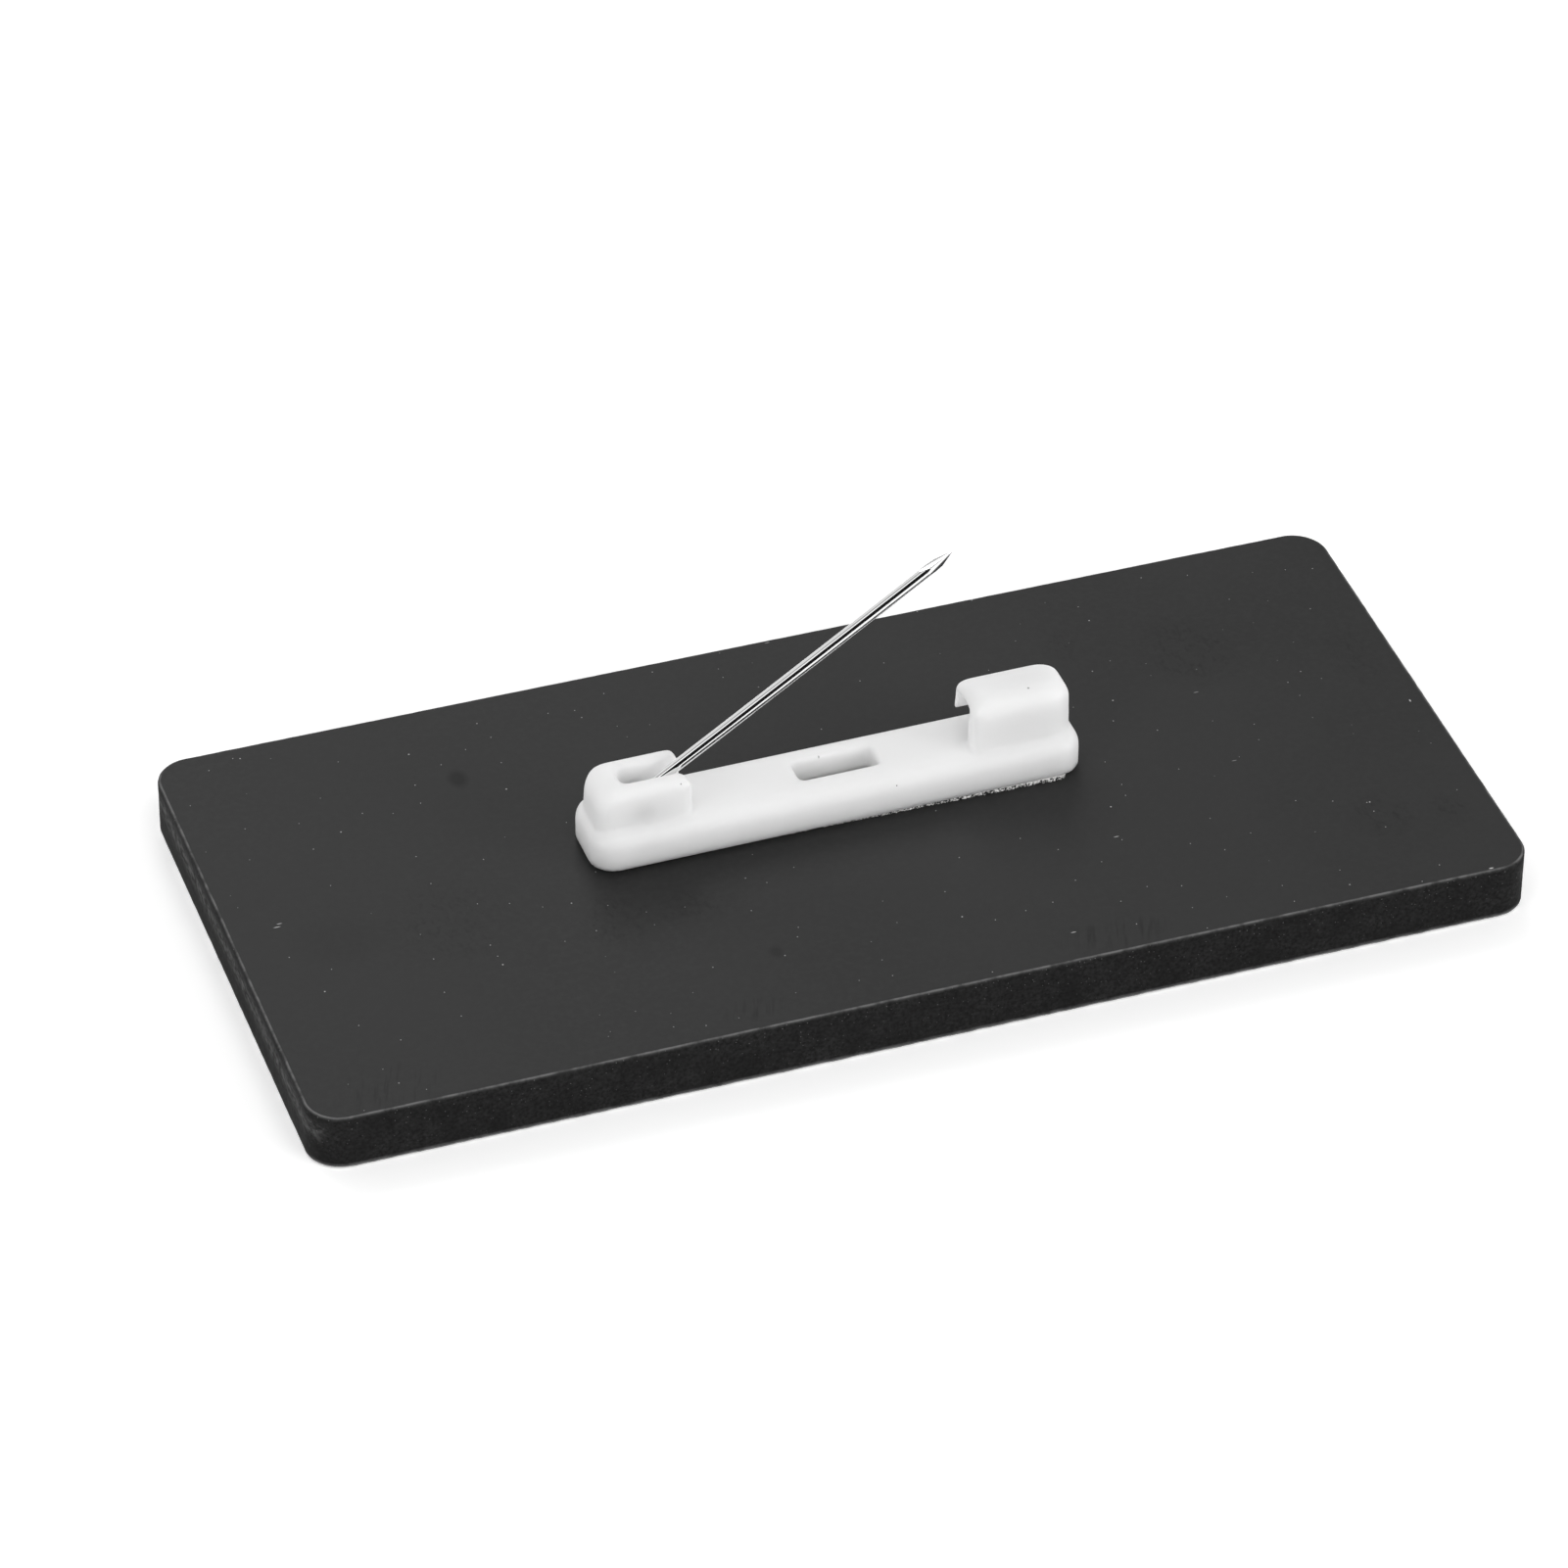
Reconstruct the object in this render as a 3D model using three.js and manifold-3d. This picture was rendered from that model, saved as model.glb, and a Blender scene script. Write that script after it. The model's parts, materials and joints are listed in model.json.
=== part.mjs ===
// A rectangular name badge lying on its face, with an adhesive bar pin on its back.
// The bar pin is a moulded base with a hinge housing at one end and a hooded catch at the other,
// and a steel needle that swings between them. Millimetres, +Z up.
// The origin is the centre of the badge's front face, which lies on the table at z = 0.
// X runs along the badge, Y across it, and the back of the badge looks up.

import * as THREE from "three";
import { mergeVertices } from "three/addons/utils/BufferGeometryUtils.js";
import Module from "manifold-3d";

// Badge plate
const PLATE_LENGTH = 75;
const PLATE_WIDTH = 35;
const PLATE_THICKNESS = 3.7;
const PLATE_CORNER = 2.2;
const PLATE_EDGE_BREAK = 0.28;

// Place of the pin base on the plate, from the plate's centre to the bar's centre, and its turn
const PIN_X = -0.16;
const PIN_Y = 1.29;
const PIN_TURN_DEG = 0.6;

// Bar of the pin base. Heights on the base are measured from its underside.
const BAR_LENGTH = 30.8;
const BAR_WIDTH = 5.23;
const BAR_HEIGHT = 2.41;
const BAR_CORNER = 1.55;
const BAR_SHOULDER = 1;

// Adhesive tape under the bar, laid on slightly askew
const TAPE_LENGTH = 28.6;
const TAPE_WIDTH = 4.7;
const TAPE_THICKNESS = 0.25;
const TAPE_CORNER = 0.5;
const TAPE_SKEW_DEG = -1.4;
const TAPE_SHIFT = -0.02;

// Hinge housing: two cheeks with a recess between them, open at the top and towards the catch
const HOUSING_SETBACK = 0.45;
const HOUSING_LENGTH = 5.9;
const HOUSING_WIDTH = 3.6;
const HOUSING_HEIGHT = 5.05;
const HOUSING_END_WALL = 1.78;
const CHEEK_WALL = 1.05;
const RECESS_CORNER = 0.45;

// Catch: a hood with a front wall and a roof whose back lip hangs down to a slit above the bar
const CATCH_SETBACK = 0.4;
const CATCH_LENGTH = 6.53;
const CATCH_WIDTH = 3.6;
const CATCH_HEIGHT = 5.8;
const CATCH_END_WALL = 1.5;
const CATCH_FRONT_WALL = 1.2;
const CATCH_ROOF = 0.95;
const LIP_THICKNESS = 0.5;
const LIP_SLIT = 1.15;

// Rounds of the housing and the catch. Outer is the end nearer the bar's end, and inner the end
// that faces the other one. The end rounds are seen from the side, and the corners from above.
const HOUSING_OUTER_ROUND = 1.9;
const HOUSING_INNER_ROUND = 0.9;
const HOUSING_TOP_ROUND = 0.65;
const HOUSING_CORNER = 1;
const CATCH_OUTER_ROUND = 1.1;
const CATCH_INNER_ROUND = 1.3;
const CATCH_TOP_ROUND = 1.1;
const CATCH_CORNER = 1.7;
const INNER_CORNER = 0.5;
const OUTER_DRAFT_DEG = 4;
const INNER_DRAFT_DEG = 1;

// Window through the bar, which opens into a relief moulded in the underside
const WINDOW_LENGTH = 5.1;
const WINDOW_WIDTH = 1.85;
const WINDOW_CORNER = 0.35;
const WINDOW_X = 0.48;
const WINDOW_Y = 0.18;
const WINDOW_WEB = 1.75;
const RELIEF_MARGIN = 0.6;

// Needle, from its pivot to its point
const WIRE_DIAMETER = 0.69;
const NEEDLE_LENGTH = 23.7;
const POINT_LENGTH = 2.5;
const NEEDLE_OPEN_DEG = 33.95;
const PIVOT_HEIGHT = 3.14;
const PIVOT_FROM_RECESS_END = 1.1;
const AXLE_SEAT = 0.55;
const PIVOT_GAP = 0.2;

// How far a cutting body runs past the face that it cuts
const OVERCUT = 1;

// Fineness of the curved faces
const CORNER_STEPS = 8;
const ROUND_STEPS = 5;
const WIRE_SIDES = 16;
const MERGE_DISTANCE = 1e-4;

const radians = THREE.MathUtils.degToRad;
const wasm = await Module();
wasm.setup();

// A closed geometry as a solid that can be joined and cut.
function solid(geometry) {
  const bare = geometry.clone();
  bare.deleteAttribute("normal");
  bare.deleteAttribute("uv");
  const merged = mergeVertices(bare, MERGE_DISTANCE);
  const mesh = new wasm.Mesh({
    numProp: 3,
    vertProperties: merged.attributes.position.array,
    triVerts: new Uint32Array(merged.index.array),
  });
  return new wasm.Manifold(mesh);
}

// A named mesh of one solid in its own material.
function piece(name, body, material) {
  const { vertProperties, triVerts } = body.getMesh();
  const geometry = new THREE.BufferGeometry();
  geometry.setAttribute("position", new THREE.BufferAttribute(vertProperties, 3));
  geometry.setIndex(new THREE.BufferAttribute(triVerts, 1));
  geometry.computeVertexNormals();
  const mesh = new THREE.Mesh(geometry, material);
  mesh.name = name;
  return mesh;
}

// The outline of a convex shape whose corners are [u, v, radius], in order.
function roundedOutline(corners) {
  const points = [];
  corners.forEach(([u, v, radius], i) => {
    const corner = new THREE.Vector2(u, v);
    if (!radius) {
      points.push(corner);
      return;
    }
    const [beforeU, beforeV] = corners.at(i - 1);
    const [afterU, afterV] = corners[(i + 1) % corners.length];
    const before = new THREE.Vector2(beforeU, beforeV).sub(corner).normalize();
    const after = new THREE.Vector2(afterU, afterV).sub(corner).normalize();
    const halfAngle = Math.acos(before.dot(after)) / 2;
    const inward = before.clone().add(after).normalize();
    const centre = corner.clone().addScaledVector(inward, radius / Math.sin(halfAngle));
    const start = corner.clone().addScaledVector(before, radius / Math.tan(halfAngle)).sub(centre);
    const turn = Math.PI - 2 * halfAngle;
    for (let step = 0; step <= CORNER_STEPS; step++) {
      const angle = (turn * step) / CORNER_STEPS;
      points.push(start.clone().rotateAround(new THREE.Vector2(), angle).add(centre));
    }
  });
  return new THREE.Shape(points);
}

// A rectangle with rounded corners, centred on its own middle.
function roundedRectangle(length, width, corner) {
  const u = length / 2;
  const v = width / 2;
  return roundedOutline([
    [-u, -v, corner],
    [u, -v, corner],
    [u, v, corner],
    [-u, v, corner],
  ]);
}

// An outline drawn on XY and raised to a height, with both its rims rounded when a round is given.
function raised(outline, height, round = 0) {
  return new THREE.ExtrudeGeometry(outline, {
    depth: height - 2 * round,
    bevelEnabled: round > 0,
    bevelThickness: round,
    bevelSize: round,
    bevelOffset: -round,
    bevelSegments: ROUND_STEPS,
  }).translate(0, 0, round);
}

// A block given by its lowest and highest corners.
function block(low, high) {
  const size = high.map((value, axis) => value - low[axis]);
  const middle = high.map((value, axis) => (value + low[axis]) / 2);
  return solid(new THREE.BoxGeometry(...size).translate(...middle));
}

// A block rooted in the bar, with its inner end at x = 0 and its outer end at its length.
// It narrows upwards by the drafts, and its top is rounded along its sides and its outer end.
function hump({ length, width, height, outerRound, innerRound, topRound, corner }) {
  const root = BAR_HEIGHT / 2;
  const inner = (z) => (z - BAR_HEIGHT) * Math.tan(radians(INNER_DRAFT_DEG));
  const outer = (z) => length - (z - BAR_HEIGHT) * Math.tan(radians(OUTER_DRAFT_DEG));
  const sideView = roundedOutline([
    [inner(root), root, 0],
    [outer(root), root, 0],
    [outer(height), height, outerRound],
    [inner(height), height, innerRound],
  ]);
  const topView = (start, startCorner) =>
    roundedOutline([
      [start, -width / 2, startCorner],
      [outer(root), -width / 2, corner],
      [outer(root), width / 2, corner],
      [start, width / 2, startCorner],
    ]);
  const across = raised(sideView, width).rotateX(Math.PI / 2).translate(0, width / 2, 0);
  const upright = raised(topView(inner(root), INNER_CORNER), height);
  const rimmed = raised(topView(-width, corner), height, topRound);
  return solid(across).intersect(solid(upright)).intersect(solid(rimmed));
}

function makePlate(material) {
  const outline = roundedRectangle(PLATE_LENGTH, PLATE_WIDTH, PLATE_CORNER);
  return piece("badge_plate", solid(raised(outline, PLATE_THICKNESS, PLATE_EDGE_BREAK)), material);
}

function makeTape(material) {
  const outline = roundedRectangle(TAPE_LENGTH, TAPE_WIDTH, TAPE_CORNER);
  const tape = piece("adhesive_tape", solid(raised(outline, TAPE_THICKNESS)), material);
  tape.position.y = TAPE_SHIFT;
  tape.rotation.z = radians(TAPE_SKEW_DEG);
  return tape;
}

// Ends of the housing and the catch along the bar
const HOUSING_LEFT = HOUSING_SETBACK - BAR_LENGTH / 2;
const HOUSING_RIGHT = HOUSING_LEFT + HOUSING_LENGTH;
const RECESS_LEFT = HOUSING_LEFT + HOUSING_END_WALL;
const RECESS_WIDTH = HOUSING_WIDTH - 2 * CHEEK_WALL;
const CATCH_RIGHT = BAR_LENGTH / 2 - CATCH_SETBACK;
const CATCH_LEFT = CATCH_RIGHT - CATCH_LENGTH;
const PIVOT_X = RECESS_LEFT + PIVOT_FROM_RECESS_END;
const AXLE_LENGTH = RECESS_WIDTH + 2 * (AXLE_SEAT - PIVOT_GAP);

// The bar, with a rounded shoulder all round its top. The lower rounds are trimmed off flat.
function bar() {
  const outline = roundedRectangle(BAR_LENGTH, BAR_WIDTH, BAR_CORNER);
  const full = raised(outline, BAR_HEIGHT + BAR_SHOULDER, BAR_SHOULDER);
  const below = block([-BAR_LENGTH, -BAR_WIDTH, -BAR_HEIGHT], [BAR_LENGTH, BAR_WIDTH, 0]);
  return solid(full.translate(0, 0, -BAR_SHOULDER)).subtract(below);
}

// The window and the relief that it opens into, as one cutting body.
function windowCut() {
  const height = WINDOW_WEB + OVERCUT;
  const opening = roundedRectangle(WINDOW_LENGTH, WINDOW_WIDTH, WINDOW_CORNER);
  const relief = roundedRectangle(
    WINDOW_LENGTH + 2 * RELIEF_MARGIN,
    WINDOW_WIDTH + 2 * RELIEF_MARGIN,
    WINDOW_CORNER + RELIEF_MARGIN,
  );
  const reliefHeight = BAR_HEIGHT - WINDOW_WEB + OVERCUT;
  const upper = raised(opening, height + OVERCUT).translate(WINDOW_X, WINDOW_Y, BAR_HEIGHT - height);
  const lower = raised(relief, reliefHeight).translate(WINDOW_X, WINDOW_Y, -OVERCUT);
  return solid(upper).add(solid(lower));
}

// The recess of the hinge, with a rounded end, and the axle's two blind seats in its cheeks.
function recessCut() {
  const length = HOUSING_RIGHT - RECESS_LEFT + OVERCUT;
  const height = HOUSING_HEIGHT - BAR_HEIGHT + OVERCUT;
  const channel = raised(roundedRectangle(2 * length, RECESS_WIDTH, RECESS_CORNER), height).translate(
    RECESS_LEFT + length,
    0,
    BAR_HEIGHT,
  );
  const seatRadius = WIRE_DIAMETER / 2 + PIVOT_GAP;
  const seats = new THREE.CylinderGeometry(
    seatRadius,
    seatRadius,
    RECESS_WIDTH + 2 * AXLE_SEAT,
    WIRE_SIDES,
  ).translate(PIVOT_X, 0, PIVOT_HEIGHT);
  return solid(channel).add(solid(seats));
}

// The space under the catch's roof, open towards the hinge, with the slit under the back lip.
function catchCut() {
  const front = CATCH_FRONT_WALL - CATCH_WIDTH / 2;
  const back = CATCH_WIDTH / 2 - LIP_THICKNESS;
  const left = CATCH_LEFT - OVERCUT;
  const right = CATCH_RIGHT - CATCH_END_WALL;
  const hollow = block([left, front, BAR_HEIGHT], [right, back, CATCH_HEIGHT - CATCH_ROOF]);
  const slit = block([left, front, BAR_HEIGHT], [right, CATCH_WIDTH, BAR_HEIGHT + LIP_SLIT]);
  return hollow.add(slit);
}

function makePinBase(material) {
  const housing = hump({
    length: HOUSING_LENGTH,
    width: HOUSING_WIDTH,
    height: HOUSING_HEIGHT,
    outerRound: HOUSING_OUTER_ROUND,
    innerRound: HOUSING_INNER_ROUND,
    topRound: HOUSING_TOP_ROUND,
    corner: HOUSING_CORNER,
  });
  const hood = hump({
    length: CATCH_LENGTH,
    width: CATCH_WIDTH,
    height: CATCH_HEIGHT,
    outerRound: CATCH_OUTER_ROUND,
    innerRound: CATCH_INNER_ROUND,
    topRound: CATCH_TOP_ROUND,
    corner: CATCH_CORNER,
  });
  const body = bar()
    .add(housing.mirror([1, 0, 0]).translate([HOUSING_RIGHT, 0, 0]))
    .add(hood.translate([CATCH_LEFT, 0, 0]))
    .subtract(recessCut())
    .subtract(catchCut())
    .subtract(windowCut());
  return piece("pin_base", body, material);
}

// Radius of the point as a share of the wire's, at shares of the point's length
const POINT_PROFILE = [
  { along: 0, radius: 1 },
  { along: 0.3, radius: 0.93 },
  { along: 0.6, radius: 0.69 },
  { along: 0.85, radius: 0.32 },
];

// The needle along +X from its pivot, with its axle across the root.
function makeNeedle(material) {
  const radius = WIRE_DIAMETER / 2;
  const pointStart = NEEDLE_LENGTH - POINT_LENGTH;
  const profile = [new THREE.Vector2(0, -radius), new THREE.Vector2(radius, -radius)];
  POINT_PROFILE.forEach((row) => {
    profile.push(new THREE.Vector2(row.radius * radius, pointStart + row.along * POINT_LENGTH));
  });
  profile.push(new THREE.Vector2(0, NEEDLE_LENGTH));
  const shank = new THREE.LatheGeometry(profile, WIRE_SIDES).rotateZ(-Math.PI / 2);
  const axle = new THREE.CylinderGeometry(radius, radius, AXLE_LENGTH, WIRE_SIDES);
  return piece("needle", solid(shank).add(solid(axle)), material);
}

const blackAcrylic = new THREE.MeshStandardMaterial({ color: 0x404040, roughness: 0.55, metalness: 0 });
const greyTape = new THREE.MeshStandardMaterial({ color: 0x9a9a98, roughness: 0.9, metalness: 0 });
const whiteNylon = new THREE.MeshStandardMaterial({ color: 0xececea, roughness: 0.35, metalness: 0 });
const polishedSteel = new THREE.MeshStandardMaterial({ color: 0xc8c8c8, roughness: 0.12, metalness: 1 });

const badge = new THREE.Group();
badge.add(makePlate(blackAcrylic));

const pin = new THREE.Group();
pin.position.set(PIN_X, PIN_Y, PLATE_THICKNESS);
pin.rotation.z = radians(PIN_TURN_DEG);
pin.add(makeTape(greyTape));

const base = makePinBase(whiteNylon);
base.position.z = TAPE_THICKNESS;
pin.add(base);

const needle = makeNeedle(polishedSteel);
needle.position.set(PIVOT_X, 0, TAPE_THICKNESS + PIVOT_HEIGHT);
needle.rotation.y = -radians(NEEDLE_OPEN_DEG);
pin.add(needle);

badge.add(pin);

export default badge;
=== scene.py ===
# A black plastic name badge lying on its front, with a white bar pin stuck to its back and the
# pin's steel needle swung open. Blender works in metres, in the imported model's own frame. Named
# sizes and places are in millimetres where no other unit is given.

import json
import math

import bpy
import numpy as np
from mathutils import Matrix, Vector, noise


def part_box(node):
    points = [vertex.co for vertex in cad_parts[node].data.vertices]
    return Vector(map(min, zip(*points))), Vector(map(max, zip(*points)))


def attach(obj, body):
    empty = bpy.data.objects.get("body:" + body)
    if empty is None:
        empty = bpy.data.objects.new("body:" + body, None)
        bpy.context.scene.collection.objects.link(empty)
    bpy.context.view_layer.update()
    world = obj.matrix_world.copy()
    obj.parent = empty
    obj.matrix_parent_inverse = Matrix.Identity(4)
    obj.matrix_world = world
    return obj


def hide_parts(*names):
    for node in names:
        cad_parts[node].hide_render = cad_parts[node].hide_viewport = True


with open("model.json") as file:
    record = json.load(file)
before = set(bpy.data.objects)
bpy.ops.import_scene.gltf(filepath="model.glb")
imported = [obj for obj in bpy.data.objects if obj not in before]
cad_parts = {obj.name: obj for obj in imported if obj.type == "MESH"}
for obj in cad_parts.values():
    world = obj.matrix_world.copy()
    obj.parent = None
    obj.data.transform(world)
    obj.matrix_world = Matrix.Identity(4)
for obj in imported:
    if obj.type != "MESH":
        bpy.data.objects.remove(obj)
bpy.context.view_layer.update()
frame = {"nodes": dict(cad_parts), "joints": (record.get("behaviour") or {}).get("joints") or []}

MM = 0.001


def extents(name):
    """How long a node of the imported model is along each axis, in millimetres."""
    low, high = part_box(name)
    return [round(side / MM, 3) for side in high - low]


PLATE_LENGTH, PLATE_WIDTH, PLATE_THICKNESS = extents("badge_plate")
# The pin's place on the plate: its origin on the plate's back, and its turn about the vertical
PIN_ORIGIN = Vector((-0.16, 1.29, PLATE_THICKNESS)) * MM
PIN_TURN = math.radians(0.6)
PIN_PLACE = Matrix.Translation(PIN_ORIGIN) @ Matrix.Rotation(PIN_TURN, 4, "Z")

# Camera, light and floor
CAMERA_PLACE = Vector((-123.2415, -342.9784, 292.0649)) * MM
CAMERA_TURN = [math.radians(angle) for angle in (51.85357, -0.33195, -18.99845)]
CAMERA_LENS = 179.888
CAMERA_SENSOR = 36
# The nearest and farthest that the camera sees, in metres
CAMERA_NEAR = 0.01
CAMERA_FAR = 20
# The studio's strength at its horizon and overhead, and how far up overhead begins, where 1 is
# straight up
STUDIO_SIDES = 0.67
STUDIO_OVERHEAD = 0.35
STUDIO_OVERHEAD_FROM = 0.9
# The unlit front of the studio: its middle's direction, its strength, and the cosines of the
# angles from its middle at which it joins the rest and is fully dark
STUDIO_DARK = Vector((-0.376, -0.867, 0.326))
STUDIO_DARK_STRENGTH = 0.02
STUDIO_DARK_EDGES = (0.78, 0.83)
# Softboxes that face the badge: name, place and size in metres, and watts
SOFTBOXES = (
    ("front_left", (-0.9, -0.65, 0.35), (0.6, 0.5), 4.3),
    ("front_right", (0.8, -0.75, 0.35), (0.6, 0.5), 5.4),
    ("front_high", (0.1, -0.6, 1.0), (0.5, 0.5), 2.3),
    ("top_left", (-0.71, -0.24, 0.8), (0.36, 0.36), 0.32),
    ("back_left", (-0.55, 0.78, 0.55), (0.7, 0.8), 0.6),
    ("back", (-0.05, 0.8, 0.75), (0.8, 0.6), 3.1),
)
# Half the side of the light table, in metres, and how strongly it glows
TABLE_HALF = 3.0
TABLE_GLOW = 0.3
# How far the table lies under the badge's front face, so that the two don't share a plane
TABLE_DROP = 0.02


def make_camera():
    """The camera that fits the photograph."""
    data = bpy.data.cameras.new("photo_camera")
    data.lens = CAMERA_LENS
    data.sensor_width = CAMERA_SENSOR
    data.clip_start = CAMERA_NEAR
    data.clip_end = CAMERA_FAR
    camera = bpy.data.objects.new("photo_camera", data)
    camera.location = CAMERA_PLACE
    camera.rotation_euler = CAMERA_TURN
    bpy.context.scene.collection.objects.link(camera)
    bpy.context.scene.camera = camera


def make_softboxes():
    """Rectangular area lights that face the badge."""
    for name, place, (width, height), watts in SOFTBOXES:
        data = bpy.data.lights.new(name, "AREA")
        data.shape = "RECTANGLE"
        data.size = width
        data.size_y = height
        data.energy = watts
        light = bpy.data.objects.new(name, data)
        light.location = place
        light.rotation_euler = (-Vector(place)).to_track_quat("-Z", "Y").to_euler()
        bpy.context.scene.collection.objects.link(light)


def linear(code):
    """The scene-linear colour of an sRGB hex code."""
    channels = [int(code[i : i + 2], 16) / 255 for i in (1, 3, 5)]
    return [c / 12.92 if c <= 0.04045 else ((c + 0.055) / 1.055) ** 2.4 for c in channels] + [1.0]


def node(tree, kind, inputs=None, **settings):
    """Adds a node with its settings, and its inputs set to values or linked to other sockets. An
    input goes by its name or its number."""
    made = tree.nodes.new(kind)
    for name, value in settings.items():
        setattr(made, name, value)
    for key, value in (inputs or {}).items():
        if isinstance(value, bpy.types.NodeSocket):
            tree.links.new(value, made.inputs[key])
        else:
            made.inputs[key].default_value = value
    return made


def new_material(name):
    """An empty node material with its output's surface input."""
    material = bpy.data.materials.new(name)
    material.use_nodes = True
    tree = material.node_tree
    tree.nodes.clear()
    output = node(tree, "ShaderNodeOutputMaterial")
    return material, tree, output.inputs["Surface"]


def make_world():
    """A white tent of light, brighter round its sides than overhead, with an unlit front."""
    world = bpy.data.worlds.new("studio")
    world.use_nodes = True
    tree = world.node_tree
    tree.nodes.clear()
    toward = node(tree, "ShaderNodeTexCoord").outputs["Generated"]
    front = {0: toward, 1: STUDIO_DARK.normalized()}
    to_front = node(tree, "ShaderNodeVectorMath", front, operation="DOT_PRODUCT").outputs["Value"]
    height = node(tree, "ShaderNodeSeparateXYZ", {0: toward}).outputs["Z"]
    tent = spread(tree, height, (0.0, STUDIO_OVERHEAD_FROM), (STUDIO_SIDES, STUDIO_OVERHEAD))
    lit = spread(tree, to_front, STUDIO_DARK_EDGES, (1.0, STUDIO_DARK_STRENGTH))
    strength = product(tree, tent, lit)
    light = node(tree, "ShaderNodeBackground", {"Color": linear("#ffffff"), "Strength": strength})
    output = node(tree, "ShaderNodeOutputWorld")
    tree.links.new(light.outputs[0], output.inputs["Surface"])
    bpy.context.scene.world = world


def make_table():
    """A table under the badge of opal acrylic lit faintly from below: an even white with only a
    trace of shadow."""
    half = TABLE_HALF
    mesh = bpy.data.meshes.new("floor")
    corners = [(-half, -half, 0), (half, -half, 0), (half, half, 0), (-half, half, 0)]
    mesh.from_pydata(corners, [], [(0, 1, 2, 3)])
    floor = bpy.data.objects.new("floor", mesh)
    floor.location.z = -TABLE_DROP * MM
    bpy.context.scene.collection.objects.link(floor)
    material, tree, surface = new_material("opal_acrylic_table")
    matt = node(tree, "ShaderNodeBsdfDiffuse", {"Color": linear("#ffffff")})
    glow = node(tree, "ShaderNodeEmission", {"Color": linear("#ffffff"), "Strength": TABLE_GLOW})
    both = node(tree, "ShaderNodeAddShader", {0: matt.outputs[0], 1: glow.outputs[0]})
    tree.links.new(both.outputs[0], surface)
    mesh.materials.append(material)


# Materials
# How far the rubbing strokes lean from straight across the plate
STROKE_LEAN = math.radians(19)
# Marks on the plate's back: x, y, reach along x and y, and strength
FINGER_MARKS = (
    (-24.8, -2.4, 4.2, 4.6, 0.5),
    (-15.7, -5.4, 2.6, 2.8, 0.7),
    (-11.0, -5.6, 3.6, 1.7, 0.5),
    (25.5, 8.3, 3.6, 4.2, 0.6),
    (18.3, 11.2, 1.5, 2.0, 0.5),
    (30.5, -10.4, 2.8, 2.4, 0.5),
    (34.6, -11.3, 1.6, 1.8, 0.5),
    (34.9, 4.7, 1.8, 3.8, 0.5),
)
RUB_MARKS = (
    (-32.4, -15.5, 4.2, 2.2, 0.45),
    (-10.5, -15.6, 2.4, 1.2, 0.5),
    (11.6, -15.9, 3.8, 1.6, 0.45),
)
STAINS = (
    (-20.4, 10.3, 0.75, 1.1, 0.6),
    (-7.7, -11.1, 0.5, 0.7, 0.4),
    (-31.2, -2.1, 3.6, 2.6, 0.12),
)
# White scratches and nicks: x, y, and reach along x and y
SCRATCHES = (
    (-34.5, 0.28, 0.26, 0.04),
    (-34.28, 0.54, 0.2, 0.035),
    (36.4, -0.7, 0.06, 0.14),
    (34.7, -17.2, 0.18, 0.07),
)
# Specks, one kind a line: the cell that may hold one, its radius, and the share of cells with one
FINE_DUST = (1.9, 0.028, 0.24)
HAIRS = (2.6, 0.03, 0.12)
LARGE_DUST = (5.3, 0.042, 0.4)
WALL_GRIT = (0.27, 0.028, 0.7)
NYLON_DIRT = (1.1, 0.04, 0.1)
# How the hairs are drawn out, and a turn in radians that keeps their cells off those of the dust
HAIR_STRETCH = (0.2, 1, 1)
HAIR_TURN = 0.9
# The band scraped along both ends of the plate: how far in from the end it begins and is full, and
# the heights between which it comes in and goes out
BAND_INSETS = (1.1, 0.3)
BAND_RISE = (1.5, 2.4)
BAND_FALL = (3.3, 2.7)
# The heights at which the walls' grit lies thinnest and thickest
GRIT_HEIGHTS = (1.0, 3.5)
# Two dark specks caught in the nylon and how far they reach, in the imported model's frame
NYLON_SPECKS = ((-0.39, 2.41, 6.36), (12.07, 0.51, 9.6))
NYLON_SPECK_REACH = (0.09, 0.09, 0.3)
# How far light wanders inside the nylon
NYLON_SCATTER = 2.4


def place_of(tree):
    """Object coordinates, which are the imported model's own."""
    return node(tree, "ShaderNodeTexCoord").outputs["Object"]


def spread(tree, value, levels, onto=(0.0, 1.0)):
    """A value's range between two levels drawn out onto another range, and held at its ends."""
    low, high = levels
    to_low, to_high = onto
    inputs = {"Value": value, "From Min": low, "From Max": high, "To Min": to_low, "To Max": to_high}
    return node(tree, "ShaderNodeMapRange", inputs).outputs[0]


def grain(tree, where, size_mm, detail, stretch=None):
    """Noise whose features are a size in millimetres, drawn out where a stretch is given."""
    if stretch:
        where = node(tree, "ShaderNodeMapping", {"Vector": where, "Scale": stretch}).outputs[0]
    inputs = {"Vector": where, "Scale": 1 / (size_mm * MM), "Detail": detail}
    return node(tree, "ShaderNodeTexNoise", inputs).outputs["Fac"]


def patches(tree, where, size_mm, detail, levels, onto=(0.0, 1.0), stretch=None):
    """Grain with its range between two levels drawn out onto another."""
    return spread(tree, grain(tree, where, size_mm, detail, stretch), levels, onto)


def rise(tree, length, limits_mm, onto=(0.0, 1.0)):
    """A length in metres drawn out between two limits in millimetres."""
    return spread(tree, length, [limit * MM for limit in limits_mm], onto)


def blend(tree, share, first, second):
    """One colour over another by a share."""
    inputs = {0: share, 6: first, 7: second}
    return node(tree, "ShaderNodeMix", inputs, data_type="RGBA").outputs[2]


def combine(tree, operation, first, second):
    """Two values in one, by an operation of the math node."""
    return node(tree, "ShaderNodeMath", {0: first, 1: second}, operation=operation).outputs[0]


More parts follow.
